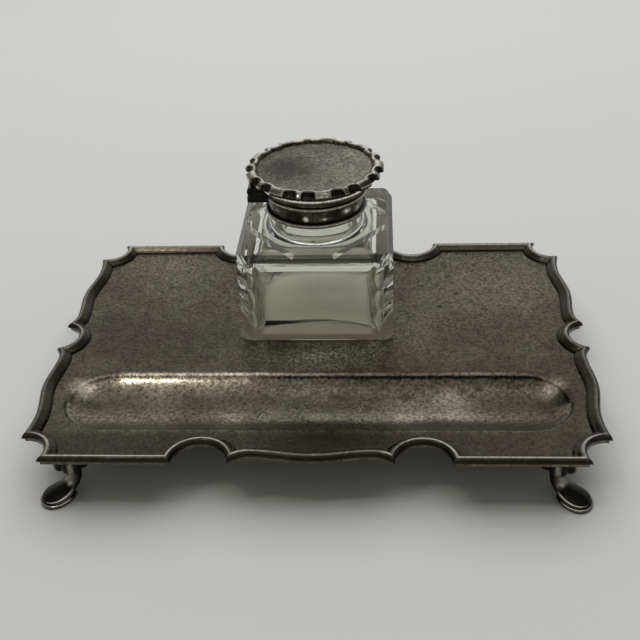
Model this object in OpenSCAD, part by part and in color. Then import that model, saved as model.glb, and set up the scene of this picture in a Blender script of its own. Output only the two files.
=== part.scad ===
// Desk inkstand: a shaped silver tray with a pen trough on four cast feet, and
// one loose cut-glass inkwell with a collar mount and a hinged lid.
// Origin: on the table below the middle of the tray. +X along the tray, +Y to the back, +Z up.

/* [Tray] */
// Length of the tray over the tips beside the side notches
tray_length = 181.4; // [174:0.2:190]
// Depth of the tray over the tips beside the front notches
tray_depth = 128; // [122:0.5:136]
// Height of the border's top above the table
tray_height = 18.2; // [16:0.1:24]
// Thickness of the sheet that the tray is pressed from
sheet_t = 0.9; // [0.7:0.05:1.2]
// How far the border's outer edge overhangs the sheet
border_overhang = 0.4; // [0.2:0.05:0.8]
// Height of the border above the sheet
border_h = 1.9; // [1.4:0.1:2.6]
// Width of the border, from its outer edge inwards
border_w = 4.3; // [3.4:0.1:5]
// Width of the high bead along the border's outer edge
border_bead_w = 1.5; // [1:0.1:1.8]
// Width of the low fillet along the border's inner edge
border_fillet_w = 1.2; // [0.8:0.1:1.5]
// Height of the border's sloping part
border_slope_h = 1.2; // [0.9:0.1:1.3]
// Height of the border's inner fillet
border_fillet_h = 0.6; // [0.3:0.1:0.8]

/* [Tray outline] */
// Distance of each front and back notch from the middle of its edge
notch_x = 33.1; // [31:0.1:36]
// Radius of the front and back notches
notch_r = 8.4; // [7:0.1:9]
// How far the straight parts of the front edge lie inside the tips
straight_in = 0.3; // [0.2:0.1:1]
// Depth of the two hollows of the wave between the front notches
wave_in = 3; // [2:0.1:4]
// How far the wave's middle lies inside the tips
wave_mid_in = 1.1; // [0.6:0.1:1.8]
// Distance of the wave's hollows from the middle of the edge
wave_x = 18.5; // [16:0.1:20]
// Length that the corner notch takes off the front edge
corner_cut_x = 9.2; // [8:0.1:11]
// Length that the corner notch takes off the side
corner_cut_y = 10.6; // [9:0.1:12]
// Depth of the corner notch below its own chord
corner_depth = 4.3; // [3:0.1:5]
// How far the corner tips lie inside the side tips
corner_in = 1.7; // [1:0.1:2.5]
// Distance of the side's outer hollow from the middle of the side
side_hollow_y = 43.5; // [40:0.5:46]
// How far the side's outer hollow lies inside the side tips
side_hollow_in = 3; // [2.2:0.1:3.6]
// Distance of the side's lobe from the middle of the side
side_lobe_y = 27; // [24:0.5:31]
// How far the side's lobe lies inside the side tips
side_lobe_in = 1; // [0.6:0.1:1.6]
// Distance of the side's inner hollow from the middle of the side
side_waist_y = 13; // [11:0.5:16]
// How far the side's inner hollow lies inside the side tips
side_waist_in = 2.1; // [1.7:0.1:2.8]
// Half width of the side notch
side_notch_half = 7; // [5:0.1:8]
// Depth of the side notch
side_notch_depth = 5.7; // [4:0.1:6.4]

/* [Pen trough] */
// Distance of the trough's ends inside the side tips
trough_end_in = 10.2; // [8:0.1:20]
// Width of the trough
trough_w = 28.5; // [24:0.5:30]
// Depth of the trough below the tray
trough_depth = 4.4; // [4:0.1:7]
// Distance of the trough's middle behind the front tips
trough_in_y = 30.2; // [27:0.1:31]

/* [Feet] */
// Distance of the ankles inside the side tips
ankle_in_x = 18.7; // [16:0.1:24]
// Distance of the ankles inside the front and back tips
ankle_in_y = 6; // [5:0.1:9]
// Angle of the toes from the length of the tray
toe_angle = 35; // [20:1:60]
// Distance of the pad's middle from the ankle
toe_reach = 7.8; // [6:0.1:9]
// Length of the pad
pad_length = 11; // [9:0.1:13]
// Width of the pad
pad_w = 7.6; // [6:0.1:9]
// Thickness of the pad's rim on the table
pad_t = 1.2; // [0.8:0.1:1.6]
// Diameter of the pad's narrow heel
heel_d = 4.6; // [3.6:0.1:5.4]
// Height of the spoon's lip above the pad's rim
spoon_rise = 1.2; // [0.8:0.1:1.8]
// How much narrower the spoon is than the pad's rim
spoon_in = 1.2; // [0.8:0.1:1.8]
// Height of the ankle above the table
ankle_z = 8.5; // [7:0.1:9.5]
// Thickness of the leg at the ankle
ankle_d = 3.4; // [2.6:0.1:3.8]
// How far the knee stands out beyond the ankle
knee_out = 1.5; // [0:0.1:2.5]
// Thickness of the leg at the knee
knee_d = 4.6; // [4:0.1:5.4]
// Width of the leaf that joins the foot to the tray
leaf_w = 10; // [8:0.2:12]
// Thickness of the leaf
leaf_t = 1.3; // [1:0.1:1.8]

/* [Glass] */
// Distance of the inkwell's middle in front of the back tips
well_in_y = 38.8; // [37:0.2:41]
// How far the loose inkwell stands to the left of the tray's middle
well_aside = 1.2; // [-2:0.1:2]
// Width of the glass block
glass_w = 52.6; // [48:0.2:56]
// Height of the glass block to its flat top
glass_h = 33; // [30:0.5:38]
// Leg of the chamfers on the upright corners
corner_chamfer = 5; // [4:0.1:6]
// Leg of the bevel round the top
top_bevel = 2; // [1.4:0.1:2.6]
// Leg of the bevel round the foot of the block
foot_bevel = 0.6; // [0.3:0.1:1]
// Leg of the small chamfers that the upright corners keep at the foot
foot_chamfer = 2.4; // [1.6:0.1:3.6]
// Height of the foot, below the full chamfers
foot_h = 2; // [1.2:0.1:3]
// Width of the ink cavity, a square with rounded corners
cavity_w = 39; // [34:0.2:41]
// Rounding of the cavity's corners and edges
cavity_round = 4.5; // [3:0.1:6]
// Thickness of glass below the cavity
glass_floor = 3; // [2:0.1:8]
// Thickness of glass above the cavity
glass_roof = 8; // [4:0.1:9]
// Radius of the bore through the neck
neck_bore_r = 12.4; // [10:0.1:13]
// Width of the neck's ledge outside the collar's bore
neck_ledge = 0.5; // [0.3:0.1:1]
// Height of the neck below the collar
neck_h = 5.4; // [4:0.1:7]
// Radius of the hollow sweep from the block to the neck
neck_sweep = 3; // [2:0.1:3.8]
// Thickness of the neck's wall inside the collar
neck_wall = 2.5; // [2:0.1:3]

/* [Cuts in the glass] */
// Depth of the mitre grooves across the top corners
groove_depth = 1.2; // [0.6:0.1:1.5]
// Where the grooves leave the front and back edges, from the middle
groove_front = 6.2; // [4:0.1:9]
// Where the grooves leave the sides, from the middle
groove_side = 2; // [1:0.1:6]
// Number of hollow cuts up each corner
cut_count = 3; // [2:1:5]
// Height of the lowest hollow cut's middle
cut_low = 8.2; // [7:0.1:10]
// Height of the highest hollow cut's middle
cut_high = 25; // [22:0.1:27]
// Depth of the hollow cuts
cut_depth = 0.8; // [0.4:0.1:1]

/* [Collar] */
// Thickness of the plaster between the neck and the collar
cement_t = 0.8; // [0.5:0.1:1.2]
// Thickness of the collar's band
band_t = 0.6; // [0.4:0.05:0.8]
// Height of the plain band
band_h = 4.2; // [3.6:0.1:6]
// How far the foot wire stands out from the band
foot_wire_out = 1.2; // [1:0.1:1.8]
// Height of the foot wire
foot_wire_h = 1.8; // [1.4:0.1:2.4]
// How far the rim wire stands out from the band
rim_wire_out = 1.3; // [1:0.1:1.6]
// Height of the rim wire
rim_wire_h = 1.8; // [1.4:0.1:2.4]
// How far the glass neck ends below the collar's rim
neck_below_rim = 2; // [1.9:0.1:2.6]

/* [Lid] */
// Gap between the closed lid and the collar
lid_gap = 0.2; // [0.15:0.05:0.3]
// Height of the lid's plain skirt
skirt_h = 2; // [1.9:0.1:2.6]
// How far the lid's plain skirt stands inside the rim wire
skirt_in = 0.6; // [0.3:0.1:1]
// How far the lid's bead stands out beyond the rim wire
bead_out = 1.7; // [1.2:0.1:2]
// Height of the lid's bead
bead_h = 1.7; // [1.4:0.1:2.2]
// How far the lid's scalloped border stands out beyond the rim wire
lid_out = 5.8; // [5.4:0.1:6.4]
// Height of the lid above its bead
lid_top_h = 4.2; // [3.6:0.1:5]
// Height of the scalloped border
lid_border_h = 2.4; // [1.8:0.1:3]
// Width of the scalloped border
lid_border_w = 4.2; // [3.8:0.1:4.6]
// Width of the raised rim along the border's inner edge
lid_rim_w = 1.8; // [1.2:0.1:2]
// Height of that rim above the scallops
lid_rim_step = 1.2; // [0.6:0.1:1.5]
// How far the lid's plate lies below the border's top
plate_sink = 0.9; // [0.5:0.1:1.4]
// Thickness of the wall that the lid's border is soldered to
lid_wall_t = 2.15; // [2:0.05:2.6]
// Thickness of the lid's sheet parts
lid_sheet_t = 0.8; // [0.6:0.05:1]
// Number of repeats round the scalloped border
lid_repeats = 9; // [7:1:11]
// Radius of each scallop
scallop_r = 2.4; // [1.8:0.1:2.6]
// Depth of each scallop
scallop_depth = 2.2; // [1.4:0.1:2.3]
// Angle between the two scallops of one repeat
scallop_pair = 15.5; // [14:0.5:17]
// Length of the guide ring inside the collar
guide_h = 1.5; // [1:0.1:1.7]
// Gap between the guide ring and the collar
guide_gap = 0.3; // [0.2:0.05:0.4]

/* [Hinge] */
// Radius of the hinge knuckles
knuckle_r = 1.7; // [1.5:0.05:1.75]
// Length of each of the three knuckles
knuckle_w = 3.3; // [2.8:0.1:4]
// Gap between neighbouring knuckles
knuckle_gap = 0.2; // [0.15:0.05:0.3]
// Gap between the knuckles and the lid's bead
hinge_clear = 0.3; // [0.2:0.05:0.5]
// Radius of the hinge pin
pin_r = 0.6; // [0.5:0.05:0.8]
// Radial running clearance of the pin in the lid's knuckle
pin_clear = 0.05; // [0.03:0.01:0.08]
// Thickness of the lid's hinge strap
strap_t = 2; // [1.6:0.1:2.4]
// Thickness of the bracket below the collar's knuckles
bracket_t = 2; // [1.6:0.1:2.4]

/* [Hidden] */

// Smoothness of round parts, and of the cast and hulled shapes
round_fn = 96;
cast_fn = 24;
// How far a cutting solid runs past the face that it opens
past = 1;

// Finishes
old_silver = [0.42, 0.39, 0.35];
bright_silver = [0.62, 0.60, 0.56];
clear_glass = [0.80, 0.82, 0.78, 0.45];
plaster = [0.86, 0.84, 0.78];

// Levels above the table
sheet_top = tray_height - border_h;
sheet_low = sheet_top - sheet_t;
glass_top = sheet_top + glass_h;
collar_low = glass_top + neck_h;
band_low = collar_low + foot_wire_h;
band_top = band_low + band_h;
collar_top = band_top + rim_wire_h;
neck_top = collar_top - neck_below_rim;
skirt_low = collar_top + lid_gap;
bead_low = skirt_low + skirt_h;
bead_top = bead_low + bead_h;
border_top = bead_top + lid_top_h;
border_low = border_top - lid_border_h;
plate_top = border_top - plate_sink;
plate_low = plate_top - lid_sheet_t;

// Radii of the neck, the collar and the lid, each worked out from the one inside it
neck_in_collar_r = neck_bore_r + neck_wall;
collar_bore_r = neck_in_collar_r + cement_t;
neck_r = collar_bore_r + neck_ledge;
band_r = collar_bore_r + band_t;
foot_wire_r = band_r + foot_wire_out;
rim_wire_r = band_r + rim_wire_out;
skirt_r = rim_wire_r - skirt_in;
bead_r = rim_wire_r + bead_out;
lid_r = rim_wire_r + lid_out;
wall_out_r = lid_r - lid_border_w;
wall_in_r = wall_out_r - lid_wall_t;
skirt_in_r = skirt_r - lid_sheet_t;
guide_out_r = collar_bore_r - guide_gap;
guide_in_r = guide_out_r - lid_sheet_t;

// The hinge stands at the left of the collar, its axis along Y
hinge_x = -(bead_r + hinge_clear + knuckle_r);
hinge_z = bead_low - knuckle_r - lid_gap;
hinge_w = 3 * knuckle_w + 2 * knuckle_gap;
bracket_top = hinge_z - knuckle_r - knuckle_gap;

// Half sizes of the tray's outline
half_l = tray_length / 2;
half_d = tray_depth / 2;

// Places on the tray
ankle_x = half_l - ankle_in_x;
ankle_y = half_d - ankle_in_y;
trough_y = trough_in_y - half_d;
well_x = -well_aside;
well_y = half_d - well_in_y;

// A curve from a to b, level at both ends, as t goes from 0 to 1
function ramp(a, b, t) = a + (b - a) * (1 - cos(180 * t)) / 2;

// A curve from a, where it is level, to b, where it is steep
function flick(a, b, t) = a + (b - a) * t * t;

// Points of the arc from p to q whose middle lies depth to the left of the chord
function notch(p, q, depth, steps) =
    let (
        chord = norm(q - p),
        r = (chord * chord / 4 + depth * depth) / (2 * depth),
        along = (q - p) / chord,
        left = [-along[1], along[0]],
        centre = (p + q) / 2 + left * (depth - r),
        turn = asin(min(1, chord / 2 / r)),
        half = depth > r ? 180 - turn : turn
    )
    [for (i = [0:steps])
        let (a = -half + 2 * half * i / steps)
        centre + r * (left * cos(a) + along * sin(a))];

// Points between two stations [distance along the edge, depth inside the tips] of the front
// edge; kind 0 is level at both ends, kind 1 is steep at the far end
function front_run(from, to, kind, steps) =
    [for (i = [0:steps - 1])
        let (t = i / steps)
        [from[0] + (to[0] - from[0]) * t,
         (kind == 0 ? ramp(from[1], to[1], t) : flick(from[1], to[1], t)) - half_d]];

// The same along the side, from the front corner to the side notch; kind 2 is steep at the start
function side_run(from, to, kind, steps) =
    [for (i = [0:steps - 1])
        let (t = i / steps)
        [half_l - (kind == 0 ? ramp(from[1], to[1], t)
            : kind == 1 ? flick(from[1], to[1], t)
            : flick(to[1], from[1], 1 - t)),
         -from[0] - (to[0] - from[0]) * t]];

// The front right quarter of the tray's outline, from the middle of the front to that of the side
front_tip = notch_x - notch_r;
corner_y = half_d - corner_cut_y;
corner_arc = notch([half_l - corner_cut_x, straight_in - half_d], [half_l - corner_in, -corner_y],
    corner_depth, 10);
side_arc = notch([half_l, -side_notch_half], [half_l, side_notch_half], side_notch_depth, 16);
quarter = concat(
    front_run([0, wave_mid_in], [wave_x, wave_in], 0, 8),
    front_run([wave_x, wave_in], [front_tip, 0], 1, 4),
    notch([front_tip, -half_d], [notch_x + notch_r, straight_in - half_d], notch_r, 14),
    part_of(corner_arc, 0, 9),
    side_run([corner_y, corner_in], [side_hollow_y, side_hollow_in], 2, 5),
    side_run([side_hollow_y, side_hollow_in], [side_lobe_y, side_lobe_in], 0, 6),
    side_run([side_lobe_y, side_lobe_in], [side_waist_y, side_waist_in], 0, 6),
    side_run([side_waist_y, side_waist_in], [side_notch_half, 0], 1, 4),
    part_of(side_arc, 0, 8)
);

function flipped(points, sx, sy) = [for (p = points) [p[0] * sx, p[1] * sy]];
function reversed(points) = [for (i = [len(points) - 1:-1:0]) points[i]];
function part_of(points, first, last) = [for (i = [first:last]) points[i]];

right_half = concat(quarter, reversed(flipped(part_of(quarter, 0, len(quarter) - 2), 1, -1)));
outline = concat(right_half, reversed(flipped(part_of(right_half, 1, len(right_half) - 2), -1, 1)));

// The tray's outline, drawn in by the given distance
module tray_shape(inset) {
    offset(delta = -inset)
        polygon(outline);
}

// A round-ended bar along X, of the radius that sinks the trough's depth over its width
trough_r = (trough_w * trough_w / 4 + trough_depth * trough_depth) / (2 * trough_depth);
trough_half = half_l - trough_end_in - trough_w / 2;
module trough_bar(r) {
    translate([0, trough_y, sheet_top - trough_depth + trough_r])
        rotate([0, 90, 0])
            rotate_extrude($fn = round_fn)
                intersection() {
                    union() {
                        square([2 * r, 2 * trough_half], center = true);
                        for (side = [-1, 1])
                            translate([0, side * trough_half])
                                circle(r, $fn = round_fn);
                    }
                    translate([0, -trough_half - r])
                        square([r, 2 * (trough_half + r)]);
                }
}

// The pressed sheet: flat, with the pen trough sunk in its front half
module tray_plate() {
    color(old_silver)
        difference() {
            union() {
                translate([0, 0, sheet_low])
                    linear_extrude(sheet_t)
                        tray_shape(border_overhang);
                intersection() {
                    trough_bar(trough_r + sheet_t);
                    translate([-half_l, -half_d, 0])
                        cube([tray_length, tray_depth, sheet_low + sheet_t / 2]);
                }
            }
            trough_bar(trough_r);
        }
}

// The cast border, soldered on the sheet: a high outer bead, a hollow slope and an inner fillet
module border_band(height, from, to) {
    translate([0, 0, sheet_top])
        linear_extrude(height)
            difference() {
                tray_shape(from);
                tray_shape(to);
            }
}

module tray_border() {
    color(old_silver) {
        border_band(border_h, 0, border_bead_w);
        border_band(border_slope_h, border_bead_w, border_w - border_fillet_w);
        border_band(border_fillet_h, border_w - border_fillet_w, border_w);
    }
}

// One cast foot at the front right, its toe turned outwards. X runs along the toe.
toe_x = toe_reach + (pad_length - pad_w) / 2;
heel_x = toe_reach - (pad_length - heel_d) / 2;
knee_z = sheet_low - leaf_t - knee_d / 2;
module foot_shape() {
    translate([ankle_x, -ankle_y, 0])
        rotate([0, 0, -toe_angle]) {
            // Flat rim of the pad
            hull() {
                translate([toe_x, 0, 0])
                    cylinder(h = pad_t, d = pad_w, $fn = cast_fn);
                translate([heel_x, 0, 0])
                    cylinder(h = pad_t, d = heel_d, $fn = cast_fn);
            }
            // Spoon-shaped toe, rising to the ankle
            hull() {
                translate([toe_x, 0, pad_t / 2])
                    cylinder(h = spoon_rise + pad_t / 2, d = pad_w - spoon_in, $fn = cast_fn);
                translate([heel_x, 0, pad_t / 2])
                    cylinder(h = spoon_rise + pad_t / 2, d = heel_d - spoon_in, $fn = cast_fn);
                translate([0, 0, ankle_z])
                    sphere(d = ankle_d, $fn = cast_fn);
            }
            // Leg, from the ankle to the knee
            hull() {
                translate([0, 0, ankle_z])
                    sphere(d = ankle_d, $fn = cast_fn);
                translate([knee_out, 0, knee_z])
                    sphere(d = knee_d, $fn = cast_fn);
            }
            // Knee, spreading into the leaf
            hull() {
                translate([knee_out, 0, knee_z])
                    sphere(d = knee_d, $fn = cast_fn);
                translate([knee_out, 0, sheet_low - leaf_t])
                    cylinder(h = leaf_t / 2, d = leaf_w - 2 * leaf_t, $fn = cast_fn);
            }
            // Leaf under the tray
            translate([knee_out, 0, sheet_low - leaf_t])
                cylinder(h = leaf_t, d = leaf_w, $fn = cast_fn);
        }
}

// A foot at the corner given by its sides: -1 or 1 along X, and -1 or 1 along Y
module foot(side_x, side_y) {
    color(old_silver)
        mirror([side_x < 0 ? 1 : 0, 0, 0])
            mirror([0, side_y > 0 ? 1 : 0, 0])
                foot_shape();
}

module foot_front_left() {
    foot(-1, -1);
}

module foot_front_right() {
    foot(1, -1);
}

module foot_back_left() {
    foot(-1, 1);
}

module foot_back_right() {
    foot(1, 1);
}

// Everything on the inkwell is drawn round its own upright axis
module on_well() {
    translate([well_x, well_y, 0])
        children();
}

// A square bar along X that takes a bevel of the given leg off the edge at [y, z]
module bevel_bar(leg, y, z) {
    side = leg * sqrt(2);
    translate([0, y, z])
        rotate([45, 0, 0])
            cube([glass_w + 2 * past, side, side], center = true);
}

// The bevels round the block at the given level
module bevels(leg, z) {
    for (turn = [0:3])
        rotate([0, 0, 90 * turn])
            bevel_bar(leg, -glass_w / 2, z);
}

// One mitre groove across the front right top corner
groove_from = [groove_front, -glass_w / 2];
groove_to = [glass_w / 2, -groove_side];
groove_run_out = top_bevel + 2 * past;
module groove() {
    way = groove_to - groove_from;
    side = groove_depth * sqrt(2);
    translate([(groove_from[0] + groove_to[0]) / 2, (groove_from[1] + groove_to[1]) / 2, glass_top])
        rotate([0, 0, atan2(way[1], way[0])])
            rotate([45, 0, 0])
                cube([norm(way) + 2 * groove_run_out, side, side], center = true);
}

// The hollow cuts up the front right corner: round bars lying across its chamfer
cut_pitch = (cut_high - cut_low) / (cut_count - 1);
cut_r = (cut_pitch * cut_pitch / 4 + cut_depth * cut_depth) / (2 * cut_depth);
chamfer_out = (glass_w - corner_chamfer) / sqrt(2);
module corner_cuts() {
    for (i = [0:cut_count - 1])
        rotate([0, 0, -45])
            translate([chamfer_out - cut_depth + cut_r, 0, sheet_top + cut_low + cut_pitch * i])
                rotate([90, 0, 0])
                    cylinder(h = 4 * corner_chamfer, r = cut_r, center = true, $fn = round_fn);
}

// A square of the block's width whose corners are taken off by the given leg
module cut_square(leg, low, high) {
    translate([-glass_w / 2, -glass_w / 2, low])
        linear_extrude(high - low)
            polygon([
                [leg, 0],
                [glass_w - leg, 0],
                [glass_w, leg],
                [glass_w, glass_w - leg],
                [glass_w - leg, glass_w],
                [leg, glass_w],
                [0, glass_w - leg],
                [0, leg]
            ]);
}

// The block of the inkwell, with its bevels, grooves and corner cuts
module glass_block() {
    difference() {
        union() {
            cut_square(foot_chamfer, sheet_top, sheet_top + foot_h);
            cut_square(corner_chamfer, sheet_top, glass_top);
        }
        bevels(top_bevel, glass_top);
        bevels(foot_bevel, sheet_top);
        for (side_x = [0, 1])
            for (side_y = [0, 1])
                mirror([side_x, 0, 0])
                    mirror([0, side_y, 0]) {
                        groove();
                        corner_cuts();
                    }
    }
}

// Half profile of the neck: a hollow sweep up from the block, then a ledge for the collar
module neck_profile() {
    difference() {
        square([neck_r + neck_sweep, collar_low]);
        translate([neck_r + neck_sweep, glass_top + neck_sweep])
            circle(neck_sweep, $fn = round_fn);
        translate([neck_r, glass_top + neck_sweep])
            square([neck_sweep + past, neck_h]);
    }
    square([neck_in_collar_r, neck_top]);
}

// A rectangle with rounded corners, about the origin
module rounded_rectangle(w, h, r) {
    square([w - 2 * r, h], center = true);
    square([w, h - 2 * r], center = true);
    for (x = [r - w / 2, w / 2 - r])
        for (y = [r - h / 2, h / 2 - r])
            translate([x, y])
                circle(r, $fn = round_fn);
}

// The ink cavity, rounded in plan and from each side, and the bore above it
cavity_low = sheet_top + glass_floor;
cavity_top = glass_top - glass_roof;
cavity_h = cavity_top - cavity_low;
module cavity() {
    translate([0, 0, (cavity_low + cavity_top) / 2])
        intersection() {
            linear_extrude(cavity_h, center = true)
                rounded_rectangle(cavity_w, cavity_w, cavity_round);
            rotate([90, 0, 0])
                linear_extrude(cavity_w, center = true)
                    rounded_rectangle(cavity_w, cavity_h, cavity_round);
            rotate([90, 0, 90])
                linear_extrude(cavity_w, center = true)
                    rounded_rectangle(cavity_w, cavity_h, cavity_round);
        }
    translate([0, 0, cavity_top - past])
        cylinder(h = neck_top - cavity_top + 2 * past, r = neck_bore_r, $fn = round_fn);
}

// The cut-glass inkwell
module glass_well() {
    color(clear_glass)
        on_well()
            difference() {
                union() {
                    glass_block();
                    intersection() {
                        rotate_extrude($fn = round_fn)
                            neck_profile();
                        translate([0, 0, glass_top - past])
                            cylinder(h = neck_top, r = glass_w, $fn = round_fn);
                    }
                }
                cavity();
            }
}

// A ring round the inkwell's axis
module ring(inner_r, outer_r, low, high) {
    translate([0, 0, low])
        difference() {
            cylinder(h = high - low, r = outer_r, $fn = round_fn);
            translate([0, 0, -past])
                cylinder(h = high - low + 2 * past, r = inner_r, $fn = round_fn);
        }
}

// A ring whose outer face is a half round of the ring's height
module wire_ring(inner_r, outer_r, low, high) {
    swell = (high - low) / 2;
    translate([0, 0, low])
        rotate_extrude($fn = round_fn) {
            translate([inner_r, 0])
                square([outer_r - inner_r - swell, 2 * swell]);
            intersection() {
                translate([outer_r - swell, swell])
                    circle(swell, $fn = round_fn);
                translate([inner_r, 0])
                    square([outer_r, 2 * swell]);
            }
        }
}

// The plaster that holds the collar on the neck
module neck_cement() {
    color(plaster)
        on_well()
            ring(neck_in_collar_r, collar_bore_r, collar_low, neck_top);
}

// The wire round the collar's foot
module collar_foot_wire() {
    color(bright_silver)
        on_well()
            wire_ring(collar_bore_r, foot_wire_r, collar_low, band_low);
}

// The plain band of the collar
module collar_band() {
    color(old_silver)
        on_well()
            ring(collar_bore_r, band_r, band_low, band_top);
}

// The wire round the collar's rim
module collar_rim_wire() {
    color(bright_silver)
        on_well()
            wire_ring(collar_bore_r, rim_wire_r, band_top, collar_top);
}

// A round bar on the hinge's axis, between two places along Y
module hinge_bar(from, to, r) {
    translate([hinge_x, to, hinge_z])
        rotate([90, 0, 0])
            cylinder(h = to - from, r = r, $fn = round_fn);
}

// The collar's two knuckles and the bracket that carries them
bracket_low = bracket_top - bracket_t;
module collar_hinge() {
    color(old_silver)
        on_well()
            difference() {
                union() {
                    for (low = [-hinge_w / 2, hinge_w / 2 - knuckle_w]) {
                        hinge_bar(low, low + knuckle_w, knuckle_r);
                        translate([hinge_x - knuckle_r / 2, low, bracket_low])
                            cube([-hinge_x, knuckle_w, hinge_z - bracket_low]);
                    }
                    translate([hinge_x - knuckle_r, -hinge_w / 2, bracket_low])
                        cube([-hinge_x, hinge_w, bracket_t]);
                }
                hinge_bar(-hinge_w / 2 - past, hinge_w / 2 + past, pin_r);
                // Room for the collar's band, and for its rim wire above that
                translate([0, 0, bracket_low - past])
                    cylinder(h = hinge_z - bracket_low + 2 * past, r = band_r, $fn = round_fn);
                translate([0, 0, band_top])
                    cylinder(h = hinge_z - band_top + past, r = rim_wire_r + knuckle_gap, $fn = round_fn);
            }
}

// The pin through the three knuckles
module hinge_pin() {
    color(bright_silver)
        on_well()
            hinge_bar(-hinge_w / 2, hinge_w / 2, pin_r);
}

// The lid's flat top
module lid_plate() {
    color(old_silver)
        on_well()
            translate([0, 0, plate_low])
                cylinder(h = lid_sheet_t, r = wall_out_r, $fn = round_fn);
}

// The lid's scalloped border: a raised rim, and pairs of scallops outside it
module lid_border() {
    color(bright_silver)
        on_well()
            difference() {
                union() {
                    ring(wall_out_r, wall_out_r + lid_rim_w, border_low, border_top);
                    ring(wall_out_r, lid_r, border_low, border_top - lid_rim_step);
                }
                for (i = [0:lid_repeats - 1])
                    for (side = [-0.5, 0.5])
                        rotate([0, 0, (i + 0.5) * 360 / lid_repeats + side * scallop_pair])
                            translate([lid_r - scallop_depth + scallop_r, 0, border_low - past])
                                cylinder(h = lid_border_h + 2 * past, r = scallop_r, $fn = round_fn);
            }
}

// The lid's side: a plain skirt, the bead, and the wall that the border is soldered to
module lid_wall() {
    color(old_silver)
        on_well()
            union() {
                ring(skirt_in_r, skirt_r, skirt_low, bead_low);
                wire_ring(skirt_in_r, bead_r, bead_low, bead_top);
                ring(wall_in_r, wall_out_r, bead_top, plate_low);
            }
}

// The ring inside the lid that drops into the collar
module lid_guide() {
    color(old_silver)
        on_well()
            union() {
                ring(guide_in_r, guide_out_r, collar_top - guide_h, skirt_low + lid_sheet_t);
                ring(guide_in_r, skirt_in_r, skirt_low, skirt_low + lid_sheet_t);
            }
}

// The lid's knuckle, between the collar's two, and the strap up to the border
module lid_hinge() {
    color(old_silver)
        on_well()
            difference() {
                union() {
                    hinge_bar(-knuckle_w / 2, knuckle_w / 2, knuckle_r);
                    translate([hinge_x - strap_t / 2, -knuckle_w / 2, hinge_z])
                        cube([strap_t, knuckle_w, border_low - hinge_z]);
                }
                hinge_bar(-knuckle_w / 2 - past, knuckle_w / 2 + past, pin_r + pin_clear);
            }
}

tray_plate();
tray_border();
foot_front_left();
foot_front_right();
foot_back_left();
foot_back_right();
glass_well();
neck_cement();
collar_foot_wire();
collar_band();
collar_rim_wire();
collar_hinge();
hinge_pin();
lid_plate();
lid_border();
lid_wall();
lid_guide();
lid_hinge();
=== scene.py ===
"""Desk inkstand: a tarnished silver tray on four cast feet, with a cut-glass inkwell and its hinged lid.

Metres. +X runs along the tray, +Y to the back, +Z up. The origin is on the table below the tray's middle.
"""

import math

import bmesh
import bpy
import numpy as np
from mathutils import Matrix, Vector
from mathutils.geometry import delaunay_2d_cdt


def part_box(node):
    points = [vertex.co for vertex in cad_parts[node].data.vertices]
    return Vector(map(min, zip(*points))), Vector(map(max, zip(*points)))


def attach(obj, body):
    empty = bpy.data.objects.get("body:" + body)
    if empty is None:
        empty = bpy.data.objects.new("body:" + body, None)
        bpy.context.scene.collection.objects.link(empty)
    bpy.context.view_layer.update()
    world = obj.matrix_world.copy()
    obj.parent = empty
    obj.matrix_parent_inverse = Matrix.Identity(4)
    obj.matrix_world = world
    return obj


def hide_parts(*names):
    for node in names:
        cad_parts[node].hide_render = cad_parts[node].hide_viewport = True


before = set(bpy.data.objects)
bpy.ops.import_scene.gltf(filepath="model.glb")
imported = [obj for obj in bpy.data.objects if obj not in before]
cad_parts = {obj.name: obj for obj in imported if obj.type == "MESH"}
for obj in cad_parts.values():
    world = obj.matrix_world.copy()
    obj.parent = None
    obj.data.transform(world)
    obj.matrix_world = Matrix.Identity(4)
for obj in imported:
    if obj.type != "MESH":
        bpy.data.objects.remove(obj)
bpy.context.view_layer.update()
mm = 0.001


# --- Camera -------------------------------------------------------------------------------------
# Held by hand in front of the tray, a little to the right, and looking down at it.
camera_place = Vector((20.4, -275.6, 209.2)) * mm
camera_down = 33.8
camera_left = 4.2
camera_tilt = 2.58

camera = bpy.data.objects.new("camera", bpy.data.cameras.new("camera"))
camera.data.lens = 54.82
camera.data.sensor_width = 36
camera.data.clip_start = 0.01
camera.matrix_world = (
    Matrix.Translation(camera_place)
    @ Matrix.Rotation(math.radians(camera_left), 4, "Z")
    @ Matrix.Rotation(math.radians(90 - camera_down), 4, "X")
    @ Matrix.Rotation(math.radians(-camera_tilt), 4, "Z")
)
bpy.context.scene.collection.objects.link(camera)
bpy.context.scene.camera = camera
bpy.context.scene.view_settings.view_transform = "Standard"


# --- Table and light ----------------------------------------------------------------------------
# A matt, pale grey table under a large soft light and a small warm lamp at the left. The room is pale at
# eye level and darker above, with a window over the viewer. Metal and glass don't show the large light.
def tone(red, green, blue):
    """The linear colour of an sRGB one given from 0 to 255."""
    part = np.array([red, green, blue]) / 255
    linear = np.where(part > 0.04045, ((part + 0.055) / 1.055) ** 2.4, part / 12.92)
    return (*linear.tolist(), 1)


def add_node(tree, kind, settings=(), **inputs):
    """One shader node of a kind. Each keyword sets the input of that name or, after _, of that number, or
    links it to another node's output."""
    made = tree.nodes.new("ShaderNode" + kind)
    for name, value in dict(settings).items():
        setattr(made, name, value)
    for name, value in inputs.items():
        target = made.inputs[int(name[1:])] if name[0] == "_" else made.inputs[name.replace("_", " ")]
        if isinstance(value, bpy.types.NodeSocket):
            tree.links.new(value, target)
        else:
            target.default_value = value
    return made


def object_place(tree):
    """The place of each point of a piece, in metres."""
    return add_node(tree, "TexCoord").outputs["Object"]


def reckon(tree, kind, a, b=0.0):
    """The result of one step of arithmetic in a node tree."""
    return add_node(tree, "Math", {"operation": kind}, _0=a, _1=b).outputs[0]


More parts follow.
